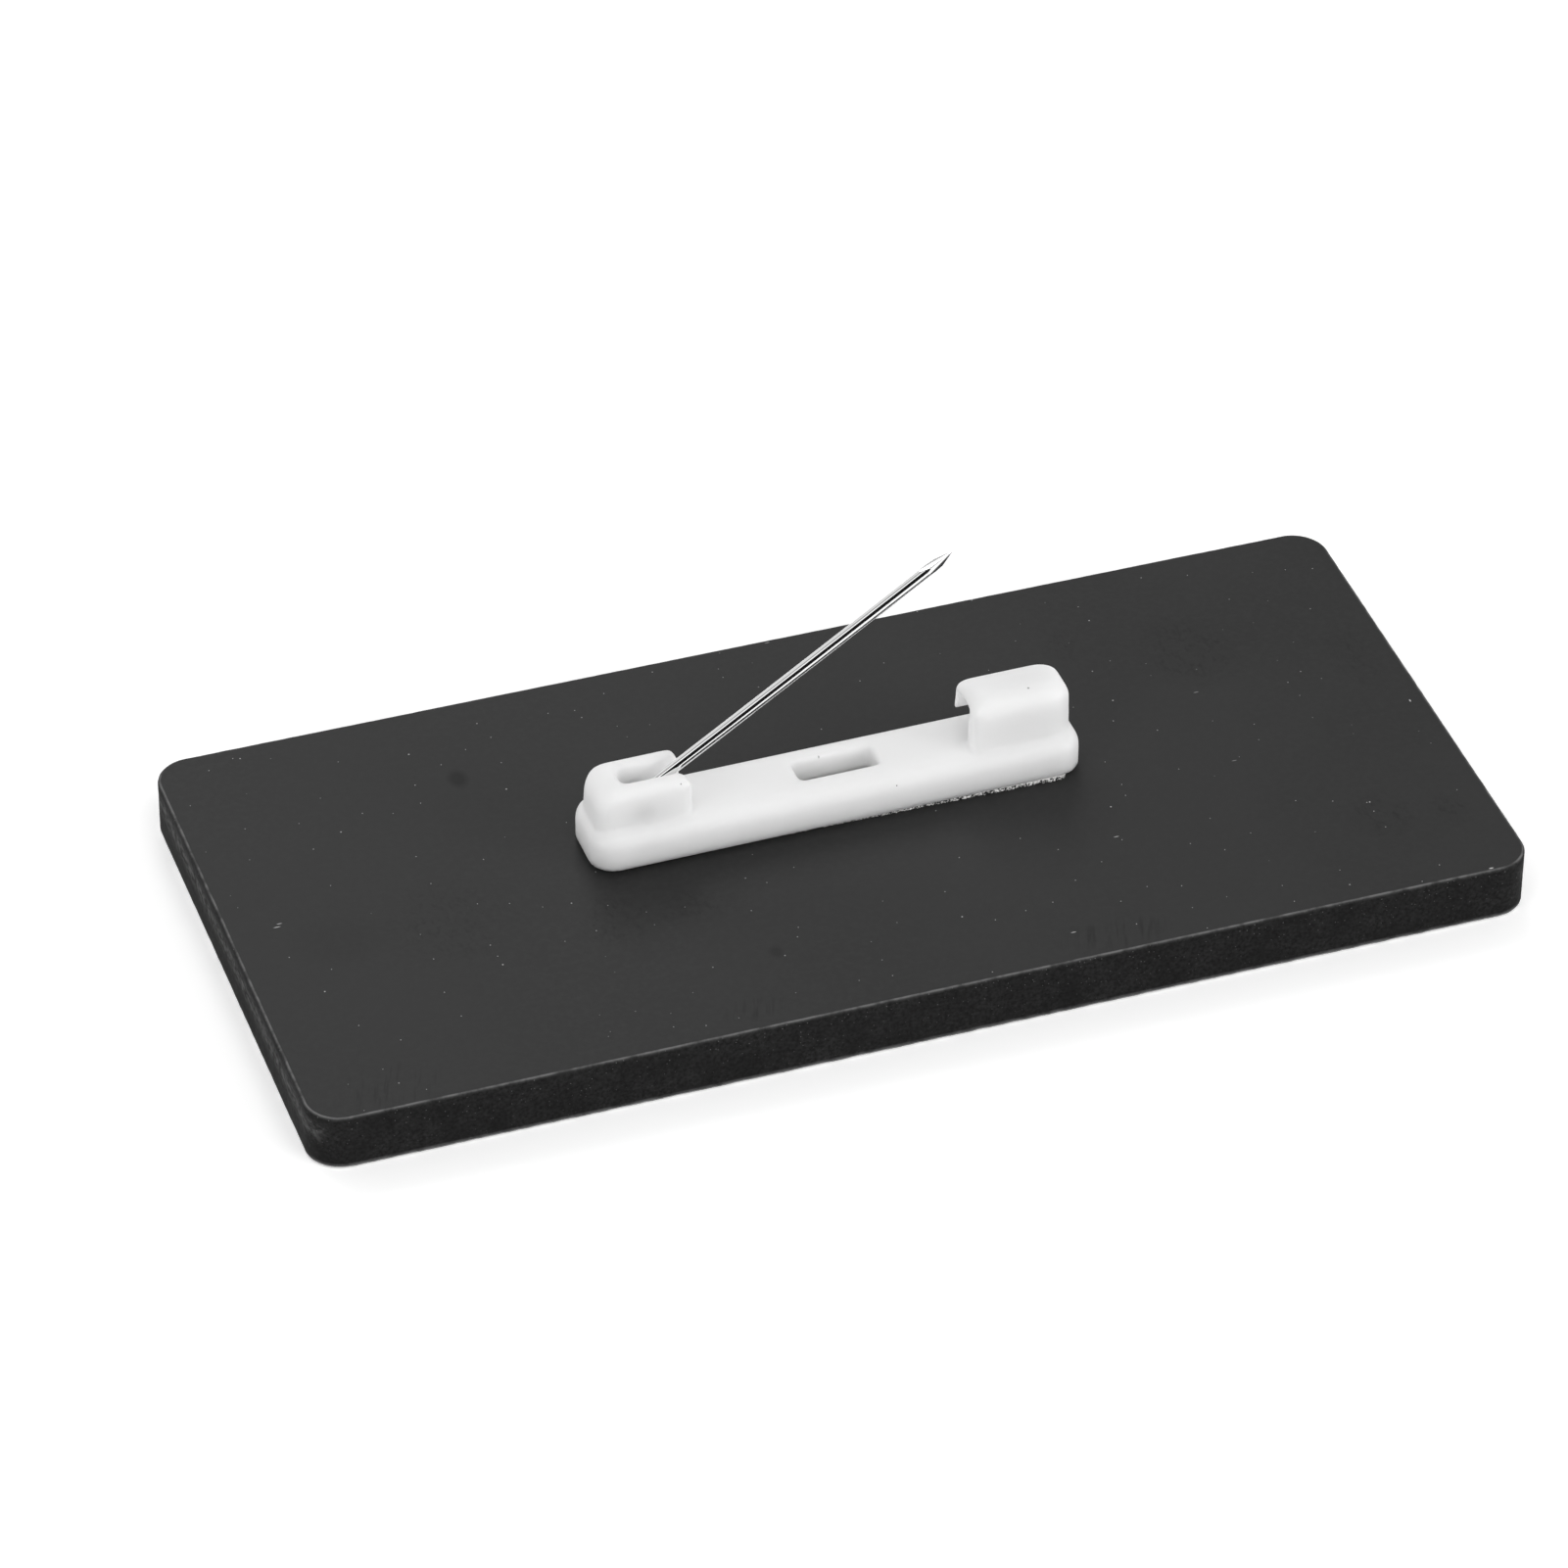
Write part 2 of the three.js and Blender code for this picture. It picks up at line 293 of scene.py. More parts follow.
def product(tree, first, *others):
    """Values multiplied together."""
    for other in others:
        first = combine(tree, "MULTIPLY", first, other)
    return first


def unsigned(tree, value):
    """A value without its sign."""
    return node(tree, "ShaderNodeMath", {0: value}, operation="ABSOLUTE").outputs[0]


def relief(tree, height, depth_mm, below=None):
    """A bump of a depth in millimetres, laid over another bump where one is given."""
    inputs = {"Height": height, "Distance": depth_mm * MM, "Strength": 1.0}
    if below:
        inputs["Normal"] = below
    return node(tree, "ShaderNodeBump", inputs).outputs[0]


def specks(tree, where, cell_mm, radius_mm, share, dimensions="3D"):
    """A mask of round specks with soft rims: one to a cell, in a share of the cells."""
    inputs = {"Vector": where, "Scale": 1 / (cell_mm * MM), "Randomness": 1.0}
    cells = node(tree, "ShaderNodeTexVoronoi", inputs, voronoi_dimensions=dimensions)
    lot = node(tree, "ShaderNodeSeparateColor", {0: cells.outputs["Color"]}).outputs[0]
    radius = radius_mm / cell_mm
    near = spread(tree, cells.outputs["Distance"], (radius * 1.3, radius * 0.7))
    picked = spread(tree, lot, (1 - share - 0.001, 1 - share + 0.001))
    return product(tree, near, picked)


def attribute(tree, name):
    """A value that a mesh carries at its points."""
    return node(tree, "ShaderNodeAttribute", attribute_name=name).outputs["Fac"]


def spot(tree, where, middle, reach):
    """A soft mask round a place, out to a reach along each axis, in millimetres."""
    from_middle = {0: where, 1: Vector(middle) * MM}
    away = node(tree, "ShaderNodeVectorMath", from_middle, operation="SUBTRACT").outputs[0]
    by_reach = {0: away, 1: Vector(reach) * MM}
    shares = node(tree, "ShaderNodeVectorMath", by_reach, operation="DIVIDE").outputs[0]
    distance = node(tree, "ShaderNodeVectorMath", {0: shares}, operation="LENGTH").outputs["Value"]
    return spread(tree, distance, (1.0, 0.4))


def plate_spot(tree, where, x, y, reach_x, reach_y):
    """A spot on the plate's back."""
    return spot(tree, where, (x, y, PLATE_THICKNESS), (reach_x, reach_y, 1))


def plate_marks(tree, where, colour):
    """A colour with the darker marks of fingers, rubbing and stains, and with white scratches."""
    dots = patches(tree, where, 0.3, 3, (0.5, 0.75), (0.1, 0.8), stretch=(1, 0.6, 1))
    lean = {"Vector": where, "Rotation": (0, 0, STROKE_LEAN)}
    leaning = node(tree, "ShaderNodeMapping", lean).outputs[0]
    strokes = patches(tree, leaning, 0.3, 2, (0.5, 0.68), stretch=(1, 0.1, 1))
    for kind, marks in ((dots, FINGER_MARKS), (strokes, RUB_MARKS), (1.0, STAINS)):
        for *place, strength in marks:
            share = product(tree, plate_spot(tree, where, *place), kind, strength)
            colour = blend(tree, share, colour, linear("#0c0c0c"))
    for place in SCRATCHES:
        colour = blend(tree, plate_spot(tree, where, *place), colour, linear("#c4c4c4"))
    return colour


def plate_dust(tree, where):
    """A mask of the dust and short hairs on the plate's back, which lie thicker in places."""
    lengthwise = {"Vector": where, "Rotation": (0, 0, HAIR_TURN), "Scale": HAIR_STRETCH}
    drawn_out = node(tree, "ShaderNodeMapping", lengthwise).outputs[0]
    fine = specks(tree, where, *FINE_DUST, dimensions="2D")
    hairs = specks(tree, drawn_out, *HAIRS, dimensions="2D")
    large = specks(tree, where, *LARGE_DUST, dimensions="2D")
    dust = combine(tree, "MAXIMUM", combine(tree, "MAXIMUM", fine, hairs), large)
    settled = patches(tree, where, 6, 1, (0.35, 0.6), (0.2, 1.0))
    return product(tree, dust, settled)


def plate_face(tree, where):
    """The colour of the plate's flat faces: nearly even, with marks and dust."""
    rubbed = patches(tree, where, 14, 3, (0.35, 0.65))
    colour = blend(tree, rubbed, linear("#272727"), linear("#2e2e2e"))
    uneven = patches(tree, where, 0.4, 5, (0.42, 0.75), (0.0, 0.4))
    colour = blend(tree, uneven, colour, linear("#323232"))
    colour = plate_marks(tree, where, colour)
    return blend(tree, plate_dust(tree, where), colour, linear("#c4c4c4"))


def plate_wall(tree, where):
    """The colour of the sawn walls: a fine mottle, a paler band scraped along both ends, and pale
    grit that lies thickest under the top edge."""
    place = node(tree, "ShaderNodeSeparateXYZ", {0: where})
    height = place.outputs["Z"]
    rough = patches(tree, where, 0.2, 5, (0.3, 0.75))
    blotches = patches(tree, where, 2.2, 4, (0.3, 0.7), (0.3, 1.0))
    colour = blend(tree, product(tree, rough, blotches), linear("#090909"), linear("#262626"))
    from_middle = unsigned(tree, place.outputs["X"])
    at_end = rise(tree, from_middle, [PLATE_LENGTH / 2 - inset for inset in BAND_INSETS])
    scraped = patches(tree, where, 0.3, 5, (0.38, 0.68), stretch=(1, 0.5, 1))
    above, under = rise(tree, height, BAND_RISE), rise(tree, height, BAND_FALL)
    band = product(tree, above, under, at_end, scraped)
    colour = blend(tree, band, colour, linear("#4c4c4c"))
    near_top = rise(tree, height, GRIT_HEIGHTS, (0.25, 1.0))
    grit = product(tree, specks(tree, where, *WALL_GRIT), near_top)
    return blend(tree, grit, colour, linear("#626262"))


def principled(tree, surface, inputs):
    """Puts a principled shader with these inputs on a material's surface."""
    shader = node(tree, "ShaderNodeBsdfPrincipled", inputs)
    tree.links.new(shader.outputs[0], surface)


def black_plastic():
    """Black plastic sheet with sawn and lightly broken edges: a dull satin face that has been
    handled, darker matt sides, and edges that are rubbed grey in places. On the top edge the grey is
    also a painted highlight, and a ragged white line along the bottom edge is a painted reflection
    of the pale table."""
    material, tree, surface = new_material("black_sheet_plastic")
    where = place_of(tree)
    wall, edge = attribute(tree, "wall"), attribute(tree, "edge")
    colour = blend(tree, wall, plate_face(tree, where), plate_wall(tree, where))
    # Rubbed grey wear on the broken edges, which on the top edge is also a painted highlight
    wear_and_painted_light = product(tree, edge, patches(tree, where, 0.8, 5, (0.36, 0.6), (0.4, 1.0)))
    colour = blend(tree, wear_and_painted_light, colour, linear("#6c6c6c"))
    # Painted reflection of the pale table: a ragged white line along the bottom edge, where it lies
    # in shade
    reflection_breakup = patches(tree, where, 0.9, 4, (0.4, 0.58))
    painted_table_reflection = product(tree, spread(tree, edge, (1.0, 2.0)), reflection_breakup)
    colour = blend(tree, painted_table_reflection, colour, linear("#b4b4b4"))
    fine = relief(tree, grain(tree, where, 0.35, 3), 0.004)
    satin = patches(tree, where, 14, 3, (0.3, 0.7), (0.42, 0.5))
    sawn = product(tree, wall, 0.4)
    principled(tree, surface, {
        "Base Color": colour,
        "Roughness": combine(tree, "ADD", satin, sawn),
        "Normal": relief(tree, grain(tree, where, 3, 2), 0.01, fine),
        "Specular IOR Level": 0.15,
    })
    return material


def white_nylon():
    """Injection moulded nylon in natural white: light wanders in it, it shines softly, its surface
    is faintly uneven, and a few dark specks are caught in it."""
    material, tree, surface = new_material("moulded_white_nylon")
    where = place_of(tree)
    cloud = grain(tree, where, 5, 2)
    colour = blend(tree, cloud, linear("#ededed"), linear("#f2f2f2"))
    dark = specks(tree, where, *NYLON_DIRT)
    for place in NYLON_SPECKS:
        dark = combine(tree, "MAXIMUM", dark, spot(tree, where, place, NYLON_SPECK_REACH))
    colour = blend(tree, dark, colour, linear("#5c5c5c"))
    waves = relief(tree, grain(tree, where, 1.6, 2), 0.012)
    principled(tree, surface, {
        "Base Color": colour,
        "Roughness": spread(tree, cloud, (0.3, 0.7), (0.42, 0.52)),
        "Specular IOR Level": 0.35,
        "Normal": relief(tree, grain(tree, where, 0.18, 2), 0.0015, waves),
        "Subsurface Weight": 1.0,
        "Subsurface Radius": (NYLON_SCATTER * MM,) * 3,
        "Subsurface Scale": 1.0,
    })
    return material


def steel_wire():
    """Hard drawn and nickel plated steel wire with a ground point: a bright mirror with fine draw
    lines along it."""
    material, tree, surface = new_material("drawn_plated_steel")
    along = node(tree, "ShaderNodeUVMap", uv_map="drawn").outputs[0]
    lines = grain(tree, along, 0.05, 3, stretch=(1, 0.02, 1))
    principled(tree, surface, {
        "Base Color": linear("#ececec"),
        "Metallic": 1.0,
        "Roughness": spread(tree, lines, (0.3, 0.7), (0.03, 0.07)),
        "Normal": relief(tree, lines, 0.0004),
    })
    return material


def foam_tape():
    """Thin double sided foam tape, cut with a blade: dark and white crumbs at its cut edge, and
    plain pale glue on its flat faces."""
    material, tree, surface = new_material("cut_foam_tape")
    crumbs = grain(tree, place_of(tree), 0.12, 4)
    colour = blend(tree, spread(tree, crumbs, (0.45, 0.56)), linear("#161616"), linear("#eaeae8"))
    facing = node(tree, "ShaderNodeTexCoord").outputs["Normal"]
    upward = node(tree, "ShaderNodeSeparateXYZ", {0: facing}).outputs["Z"]
    flat = spread(tree, unsigned(tree, upward), (0.97, 0.995))
    principled(tree, surface, {
        "Base Color": blend(tree, flat, colour, linear("#e2e2e0")),
        "Roughness": 0.85,
        "Normal": relief(tree, crumbs, 0.05),
    })
    return material


# Shared ways of making pieces


def finished(name, mesh, material, body, replaced):
    """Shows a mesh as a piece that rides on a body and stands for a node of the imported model."""
    mesh.materials.clear()
    mesh.materials.append(material)
    piece = bpy.data.objects.new(name, mesh)
    bpy.context.scene.collection.objects.link(piece)
    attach(piece, body)
    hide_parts(replaced)


def holder_of(mesh):
    """A passing object that holds a mesh while modifiers work on it."""
    holder = bpy.data.objects.new("holder", mesh)
    bpy.context.scene.collection.objects.link(holder)
    return holder


def mesh_left_by(holder):
    """The mesh that a holder's modifiers leave, with the holder removed."""
    evaluated = holder.evaluated_get(bpy.context.evaluated_depsgraph_get())
    mesh = bpy.data.meshes.new_from_object(evaluated)
    bpy.data.objects.remove(holder)
    return mesh


def outline_points(length, width, corner, step):
    """A rounded rectangle's points and outward directions, about a step apart, in millimetres."""
    places, outwards = [], []
    arc_steps = max(8, round(math.pi / 2 * corner / step))
    sides = [(1, 1, 0, length), (-1, 1, 90, width), (-1, -1, 180, length), (1, -1, 270, width)]
    for sign_x, sign_y, start, after in sides:
        centre = Vector((sign_x * (length / 2 - corner), sign_y * (width / 2 - corner)))
        for i in range(arc_steps):
            angle = math.radians(start + 90 * i / arc_steps)
            outward = Vector((math.cos(angle), math.sin(angle)))
            places.append(centre + outward * corner)
            outwards.append(outward)
        angle = math.radians(start + 90)
        outward = Vector((round(math.cos(angle)), round(math.sin(angle))))
        forward = Vector((-outward.y, outward.x))
        run = after - 2 * corner
        run_steps = round(run / step)
        for i in range(run_steps):
            places.append(centre + outward * corner + forward * (run * i / run_steps))
            outwards.append(outward)
    return places, outwards


def bands(rings):
    """The faces between each ring of points and the next, where all have equally many points."""
    count = len(rings[0])
    faces = []
    for ring in range(len(rings) - 1):
        low, high = ring * count, (ring + 1) * count
        for i in range(count):
            after = (i + 1) % count
            faces.append((low + i, low + after, high + after, high + i))
    return faces


def ringed_mesh(name, rings):
    """A closed mesh of rings of equally many points, with a flat face on each end."""
    count = len(rings[0])
    last = (len(rings) - 1) * count
    faces = bands(rings)
    faces.append(tuple(range(count))[::-1])
    faces.append(tuple(range(last, last + count)))
    mesh = bpy.data.meshes.new(name)
    mesh.from_pydata([point for ring in rings for point in ring], [], faces)
    mesh.shade_smooth()
    for face in mesh.polygons:
        if len(face.vertices) > 4:
            face.use_smooth = False
    return mesh


def tube(rings):
    """A closed tube's points and faces, with each end closed by its middle."""
    count = len(rings[0])
    points = [point for ring in rings for point in ring]
    middles = [sum(rings[0], Vector()) / count, sum(rings[-1], Vector()) / count]
    first, last = len(points), len(points) + 1
    faces = bands(rings)
    top = (len(rings) - 1) * count
    for i in range(count):
        after = (i + 1) % count
        faces.append((first, after, i))
        faces.append((last, top + i, top + after))
    return points + middles, faces


# Plate
PLATE_CORNER = 2.2
PLATE_STEP = 0.2
EDGE_BREAK = 0.2
WALL_ROWS = 16
# Rows round a broken edge: the angle from the flat face, and how worn and pale the edge is there,
# where 1 is rubbed grey and 2 is a ragged white line. On the top edge the rubbed grey is wear and
# also a painted highlight; on the bottom edge the white is a painted reflection of the pale table.
TOP_BREAK = ((0, 0.0), (12, 1.0), (30, 1.0), (48, 0.3), (66, 0.1), (90, 0.0))
BOTTOM_BREAK = ((0, 0.0), (30, 1.0), (50, 1.8), (66, 2.0), (80, 1.8), (90, 0.6))
# How deep the pits, saw marks and ragged patches of the plate's walls go
PIT_DEPTH = 0.018
SAW_DEPTH = 0.012
RAGGED_DEPTH = 0.025


def edge_row(angle):
    """A broken edge's distance in from the wall and from the flat face, at an angle round it."""
    turn = math.radians(angle)
    return EDGE_BREAK * (1 - math.sin(turn)), EDGE_BREAK * (1 - math.cos(turn))


def plate_rows():
    """The rows up the plate's wall: how far in and how high each lies, and how worn it is, with the
    painted highlight and painted table reflection that go with that wear.
    """
    rows = [(*edge_row(angle), wear_and_painted_light) for angle, wear_and_painted_light in BOTTOM_BREAK]
    straight = PLATE_THICKNESS - 2 * EDGE_BREAK
    for i in range(1, WALL_ROWS):
        rows.append((0, EDGE_BREAK + straight * i / WALL_ROWS, 0.0))
    for angle, wear_and_painted_light in reversed(TOP_BREAK):
        inset, depth = edge_row(angle)
        rows.append((inset, PLATE_THICKNESS - depth, wear_and_painted_light))
    return rows


def unevenness(place):
    """Noise at a place, from 0 to 1."""
    return 0.5 + 0.5 * noise.noise(place)


def wall_depth(place, height):
    """How deep the plate's wall is worn at a place on its outline and a height."""
    at = Vector((place.x, place.y, height))
    pits = unevenness(at * 2.2)
    saw = unevenness(Vector((place.x * 0.3, place.y * 0.3, height * 6 + 40)))
    ragged = unevenness(at * 1.3 + Vector((0, 0, 90)))
    return PIT_DEPTH * pits + SAW_DEPTH * saw + RAGGED_DEPTH * ragged


def make_plate():
    """The black plate, with broken and worn edges and ragged walls. Its points say whether they
    belong to a wall, and how worn the edge is there, with a painted highlight on the top edge and a
    painted reflection of the table on the bottom edge."""
    places, outwards = outline_points(PLATE_LENGTH, PLATE_WIDTH, PLATE_CORNER, PLATE_STEP)
    rows = plate_rows()
    rings, wall, edge = [], [], []
    for row, (inset, height, wear_and_painted_light) in enumerate(rows):
        ring = []
        for place, outward in zip(places, outwards):
            flat = place - outward * (inset + wall_depth(place, height))
            ring.append(Vector((flat.x, flat.y, height)) * MM)
        rings.append(ring)
        wall += [0.0 if row in (0, len(rows) - 1) else 1.0] * len(ring)
        edge += [wear_and_painted_light] * len(ring)
    mesh = ringed_mesh("plate", rings)
    for name, values in (("wall", wall), ("edge", edge)):
        mesh.attributes.new(name, "FLOAT", "POINT").data.foreach_set("value", values)
    finished("plate", mesh, black_plastic(), "badge", "badge_plate")


# Moulding
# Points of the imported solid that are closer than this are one
WELD_REACH = 0.0001
VOXEL = 0.1
FILLET_PASSES = 28
FILLET_FACTOR = 0.5
# How soft its foot's rim and the catch's lip are, where 1 is fully soft
CRISP = 0.12
# How far above its foot, and above or below the lip, it gets fully soft
FOOT_RISE = 0.5
LIP_RISE = 0.9
# The lip's height over the plate, where the lip's side of the catch begins across the bar, and
# where the catch begins along it
LIP_HEIGHT = 3.81
LIP_INSIDE = 1.0
CATCH_LEFT = 8.4


def softness_at(place, foot):
    """How soft the moulding's edges are at a place, from crisp up to 1."""
    soft = (place.z - foot) / FOOT_RISE
    if place.x > CATCH_LEFT and place.y > LIP_INSIDE:
        soft = min(soft, abs(place.z - LIP_HEIGHT) / LIP_RISE)
    return min(1.0, max(CRISP, soft))


def evenly_meshed(solid):
    """A solid's mesh in millimetres, welded and remeshed in even steps."""
    rough = holder_of(solid)
    weld = rough.modifiers.new("weld", "WELD")
    weld.merge_threshold = WELD_REACH
    remesh = rough.modifiers.new("remesh", "REMESH")
    remesh.mode = "VOXEL"
    remesh.voxel_size = VOXEL
    return mesh_left_by(rough)


def softened(mesh):
    """A mesh in millimetres with its edges softened, as far as softness_at says for each place."""
    even = holder_of(mesh)
    foot = min(vertex.co.z for vertex in mesh.vertices)
    softness = even.vertex_groups.new(name="softness")
    for vertex in mesh.vertices:
        softness.add([vertex.index], softness_at(vertex.co, foot), "REPLACE")
    soften = even.modifiers.new("soften", "SMOOTH")
    soften.factor = FILLET_FACTOR
    soften.iterations = FILLET_PASSES
    soften.vertex_group = softness.name
    return mesh_left_by(even)


def make_moulding():
    """The pin's base as it leaves its mould, with soft edges, fillets in its inner corners, and
    crisp rims under its foot and its catch's lip."""
    solid = frame["nodes"]["pin_base"].data.copy()
    solid.transform(PIN_PLACE.inverted())
    solid.transform(Matrix.Scale(1 / MM, 4))
    mesh = softened(evenly_meshed(solid))
    mesh.name = "pin_moulding"
    mesh.transform(Matrix.Scale(MM, 4))
    mesh.transform(PIN_PLACE)
    mesh.shade_smooth()
    finished("pin_moulding", mesh, white_nylon(), "badge", "pin_base")


# Needle
WIRE_RADIUS = 0.345
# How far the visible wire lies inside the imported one
WIRE_INSET = 0.005
WIRE_SIDES = 48
WIRE_ANGLES = [2 * math.pi * side / WIRE_SIDES for side in range(WIRE_SIDES)]
NEEDLE_LENGTH = 23.7
NEEDLE_SAG = 0.04
NEEDLE_OPEN = math.radians(33.95)
POINT_LENGTH = 2.3
SHANK_LENGTH = NEEDLE_LENGTH - POINT_LENGTH
SHANK_ROWS = 120
POINT_ROWS = 60
# The shares of the point's length at its first and last rows
POINT_ENDS = (0.01, 0.995)
# Ground flats of the point: the way each faces, about the wire from its upper side, and the share
# of the point's length at which it starts
POINT_FLATS = ((-2, 0.0), (92, 0.15), (223, 0.15))
# How flat they are ground, from 0 for round to 1 for flat
POINT_FLATNESS = 0.7
AXLE_HALF = 1.1
# The chamfers round the wire's root and the axle's ends: how far each runs along, and goes in
CHAMFER_RUN = 0.04
ROOT_CHAMFER = 0.05
AXLE_CHAMFER = 0.04
# The angle from which an edge between two faces shows as an edge
SHARP_ANGLE = math.radians(20)


def wire_rows():
    """Places along the wire from its root to its point, each with the wire's radius there."""
    radius = WIRE_RADIUS - WIRE_INSET
    root = CHAMFER_RUN - WIRE_RADIUS
    shank = np.linspace(0, SHANK_LENGTH, SHANK_ROWS)
    point = SHANK_LENGTH + POINT_LENGTH * np.linspace(*POINT_ENDS, POINT_ROWS)
    rows = [(root, radius - ROOT_CHAMFER), (root + CHAMFER_RUN, radius)]
    return rows + [(along, radius) for along in (*shank, *point)]


def wire_ring(along, radius):
    """The points round the wire at a place along it, with its sag and its ground flats."""
    share = max(0.0, (along - SHANK_LENGTH) / POINT_LENGTH)
    sag = NEEDLE_SAG * math.sin(math.pi * max(0.0, along) / NEEDLE_LENGTH)
    ring = []
    for angle in WIRE_ANGLES:
        reach = radius
        for facing, start in POINT_FLATS:
            turn = math.cos(angle - math.radians(facing))
            if turn > 0 and share > start:
                ground = radius * (1 - share) / (1 - start)
                reach = min(reach, ground / turn**POINT_FLATNESS)
        ring.append(Vector((along, -reach * math.sin(angle), reach * math.cos(angle) - sag)))
    return ring


def axle_ring(across, radius):
    """The points round the axle at a place across the wire."""
    return [
        Vector((radius * math.cos(angle), across, -radius * math.sin(angle)))
        for angle in WIRE_ANGLES
    ]


def axle_rows():
    """Places along the axle from end to end, each with the axle's radius there."""
    radius = WIRE_RADIUS - WIRE_INSET
    straight = AXLE_HALF - CHAMFER_RUN
    end = radius - AXLE_CHAMFER
    return ((-AXLE_HALF, end), (-straight, radius), (straight, radius), (AXLE_HALF, end))


def make_needle():
    """The wire from its root to its point, and the short axle across its root."""
    points, faces = tube([wire_ring(*row) for row in wire_rows()])
    axle_points, axle_faces = tube([axle_ring(*row) for row in axle_rows()])
    offset = len(points)
    faces += [tuple(index + offset for index in face) for face in axle_faces]
    mesh = bpy.data.meshes.new("needle_wire")
    mesh.from_pydata([point * MM for point in points + axle_points], [], faces)
    drawn = mesh.uv_layers.new(name="drawn")
    for loop in mesh.loops:
        at = mesh.vertices[loop.vertex_index].co
        drawn.data[loop.index].uv = (math.atan2(at.y, at.z) * WIRE_RADIUS * MM, at.x)
    pivot = Vector(frame["joints"][0]["pos_m"])
    place = Matrix.Translation(pivot) @ Matrix.Rotation(PIN_TURN, 4, "Z")
    mesh.transform(place @ Matrix.Rotation(-NEEDLE_OPEN, 4, "Y"))
    mesh.shade_smooth()
    mesh.set_sharp_from_angle(angle=SHARP_ANGLE)
    finished("needle_wire", mesh, steel_wire(), "needle", "needle")


# Tape
TAPE_LENGTH = 28.6
TAPE_WIDTH = 4.7
TAPE_THICKNESS = extents("adhesive_tape")[2]
TAPE_CORNER = 0.5
TAPE_STEP = 0.06
TAPE_ROWS = 5
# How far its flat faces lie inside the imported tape's
TAPE_INSET = 0.01
# Its place under the pin's base: its turn, and its shift across the base
TAPE_TURN = math.radians(-1.4)
TAPE_SHIFT = -0.02
# Tears in its cut edge: how many to a millimetre, and how far they reach
TEARS = ((3.1, 0.09), (9.0, 0.05))
# How far in the torn edge lies on the whole, and how much faster the tears change up than along
TORN_INSET = 0.05
TEAR_SQUASH = 4
# What the crumb nodes are given
CRUMB_SIZES = {"Crumbs per mm2": 45.0, "Smallest radius": 0.025, "Largest radius": 0.07}
CRUMB_SEED = 11
# The most that a crumb is turned about each axis, in radians
CRUMB_TURN = 6.0
# How far from level a face may point and still belong to the cut edge
CUT_EDGE_TILT = 0.3


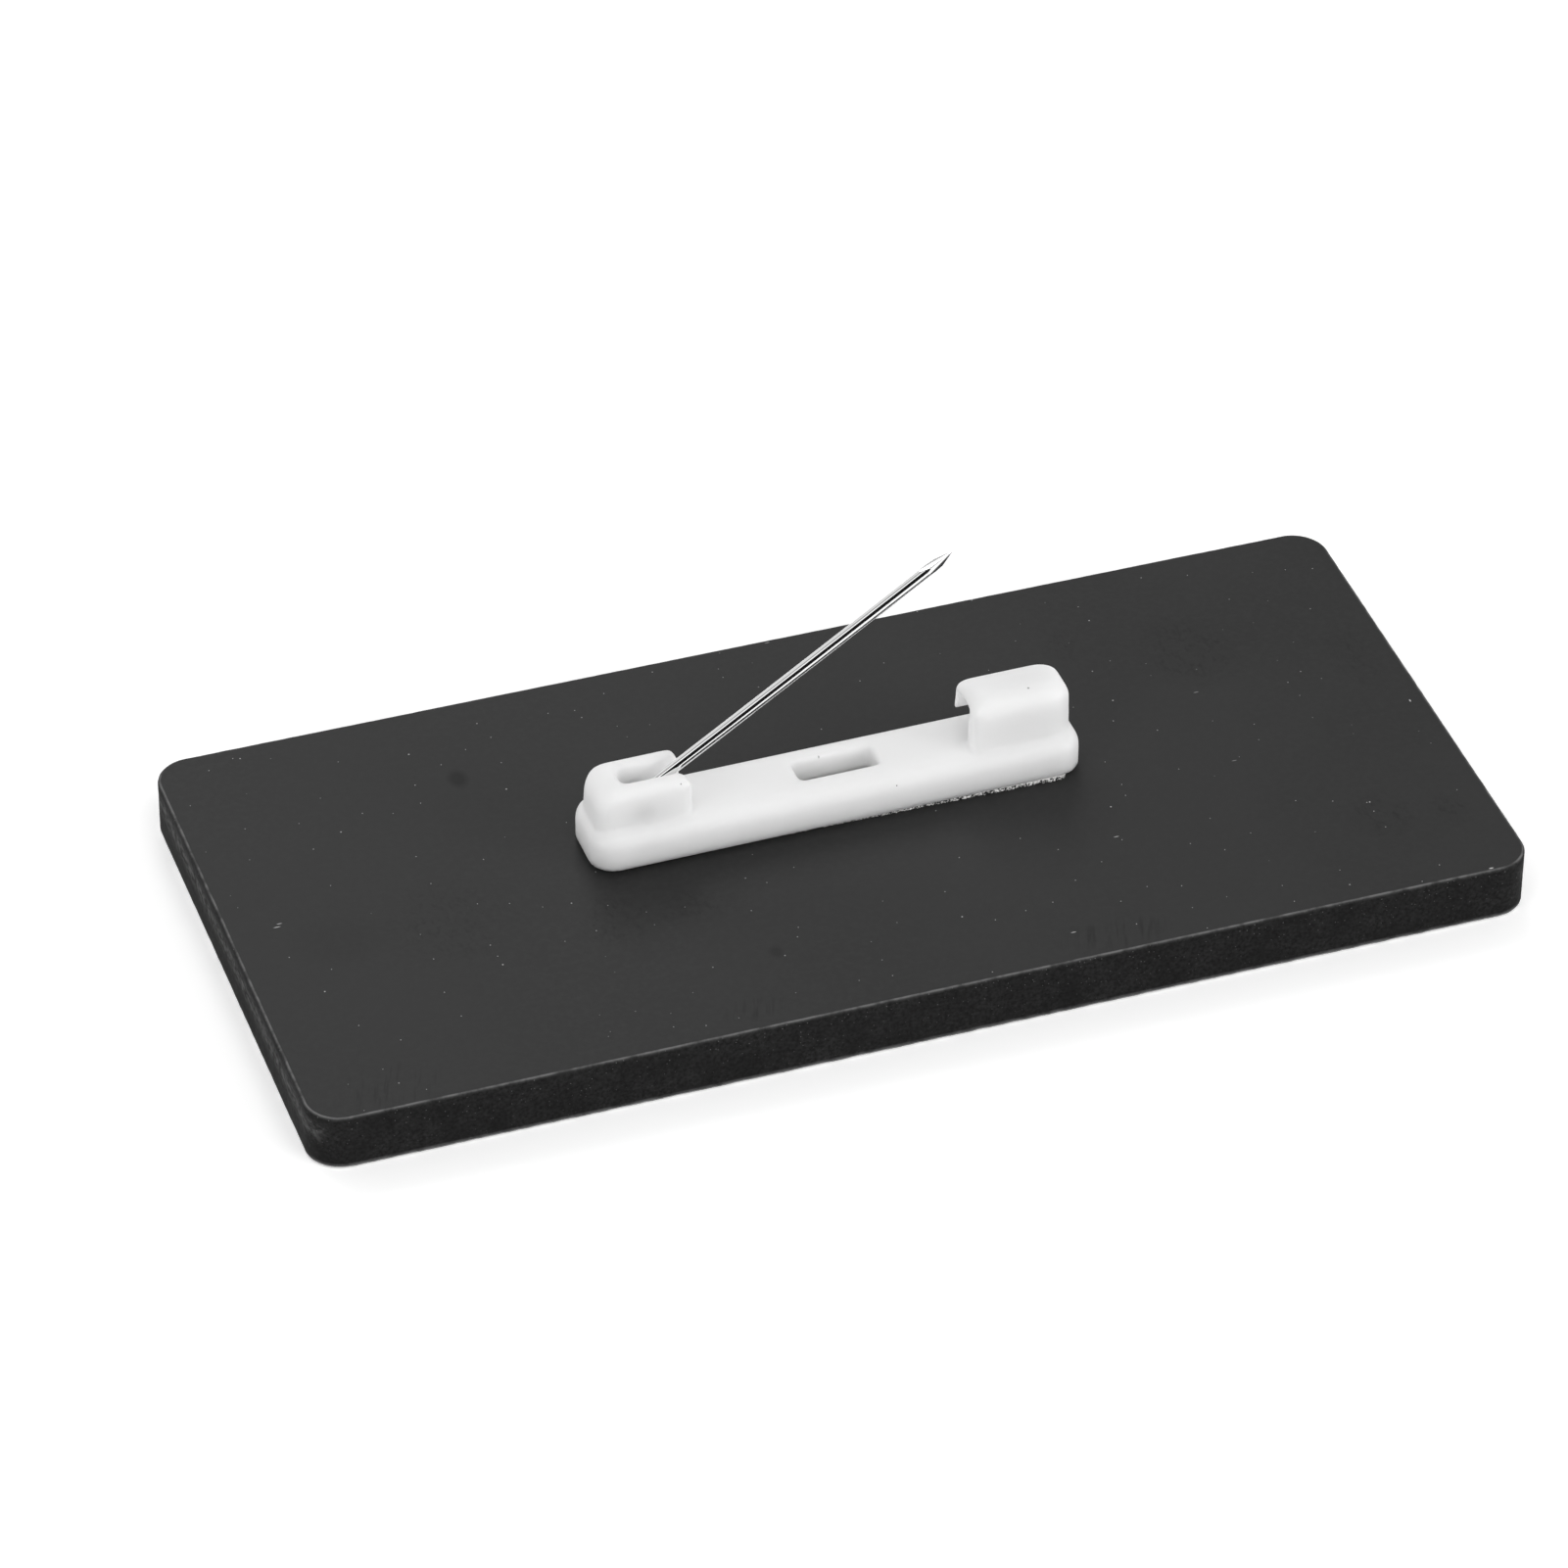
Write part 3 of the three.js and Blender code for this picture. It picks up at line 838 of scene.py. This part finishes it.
def crumb_tree(material):
    """Foam crumbs on the cut edge of a strip, which is every face that doesn't lie flat."""
    tree = bpy.data.node_groups.new("foam_crumbs", "GeometryNodeTree")
    tree.interface.new_socket("Strip", in_out="INPUT", socket_type="NodeSocketGeometry")
    for name in CRUMB_SIZES:
        tree.interface.new_socket(name, in_out="INPUT", socket_type="NodeSocketFloat")
    tree.interface.new_socket("Crumbs", in_out="OUTPUT", socket_type="NodeSocketGeometry")
    given = node(tree, "NodeGroupInput").outputs
    facing = node(tree, "GeometryNodeInputNormal").outputs[0]
    upward = node(tree, "ShaderNodeSeparateXYZ", {0: facing}).outputs["Z"]
    level = {0: upward, 1: 0.0, "Epsilon": CUT_EDGE_TILT}
    cut_edge = node(tree, "FunctionNodeCompare", level, operation="EQUAL").outputs[0]
    places = node(tree, "GeometryNodeDistributePointsOnFaces", {
        "Mesh": given["Strip"],
        "Selection": cut_edge,
        "Density": given["Crumbs per mm2"],
        "Seed": CRUMB_SEED,
    })
    grit = node(tree, "GeometryNodeMeshIcoSphere", {"Radius": 1.0, "Subdivisions": 1})
    radii = {2: given["Smallest radius"], 3: given["Largest radius"], "Seed": CRUMB_SEED + 1}
    size = node(tree, "FunctionNodeRandomValue", radii, data_type="FLOAT")
    turns = {0: (0.0,) * 3, 1: (CRUMB_TURN,) * 3, "Seed": CRUMB_SEED + 2}
    turn = node(tree, "FunctionNodeRandomValue", turns, data_type="FLOAT_VECTOR")
    crumbs = node(tree, "GeometryNodeInstanceOnPoints", {
        "Points": places.outputs["Points"],
        "Instance": grit.outputs["Mesh"],
        "Rotation": turn.outputs[0],
        "Scale": size.outputs[1],
    })
    real = node(tree, "GeometryNodeRealizeInstances", {0: crumbs.outputs[0]})
    joined = node(tree, "GeometryNodeJoinGeometry", {0: given["Strip"]})
    tree.links.new(real.outputs[0], joined.inputs[0])
    dressed = {"Geometry": joined.outputs[0], "Material": material}
    finish = node(tree, "GeometryNodeSetMaterial", dressed)
    output = node(tree, "NodeGroupOutput")
    tree.links.new(finish.outputs[0], output.inputs[0])
    return tree


def with_crumbs(strip, material):
    """The strip's mesh with foam crumbs along its cut edge, both in millimetres."""
    holder = holder_of(strip)
    modifier = holder.modifiers.new("crumbs", "NODES")
    modifier.node_group = crumb_tree(material)
    for item in modifier.node_group.interface.items_tree:
        if item.name in CRUMB_SIZES:
            modifier[item.identifier] = CRUMB_SIZES[item.name]
    return mesh_left_by(holder)


def make_tape():
    """The strip of foam tape under the pin's base, with a torn and crumbly cut edge."""
    places, outwards = outline_points(TAPE_LENGTH, TAPE_WIDTH, TAPE_CORNER, TAPE_STEP)
    rings = []
    for row in range(TAPE_ROWS):
        height = TAPE_INSET + (TAPE_THICKNESS - 2 * TAPE_INSET) * row / (TAPE_ROWS - 1)
        ring = []
        for place, outward in zip(places, outwards):
            at = Vector((place.x, place.y, height * TEAR_SQUASH))
            torn = sum(noise.noise(at * per_mm) * reach for per_mm, reach in TEARS)
            flat = place + outward * (torn - TORN_INSET)
            ring.append(Vector((flat.x, flat.y, height)))
        rings.append(ring)
    material = foam_tape()
    mesh = with_crumbs(ringed_mesh("tape_cut", rings), material)
    mesh.name = "tape_strip"
    mesh.transform(Matrix.Scale(MM, 4))
    place = Matrix.Translation((0, TAPE_SHIFT * MM, 0)) @ Matrix.Rotation(TAPE_TURN, 4, "Z")
    mesh.transform(PIN_PLACE @ place)
    finished("tape_strip", mesh, material, "badge", "adhesive_tape")


make_camera()
make_world()
make_table()
make_softboxes()
bpy.context.scene.view_settings.view_transform = "Standard"

make_plate()
make_moulding()
make_needle()
make_tape()
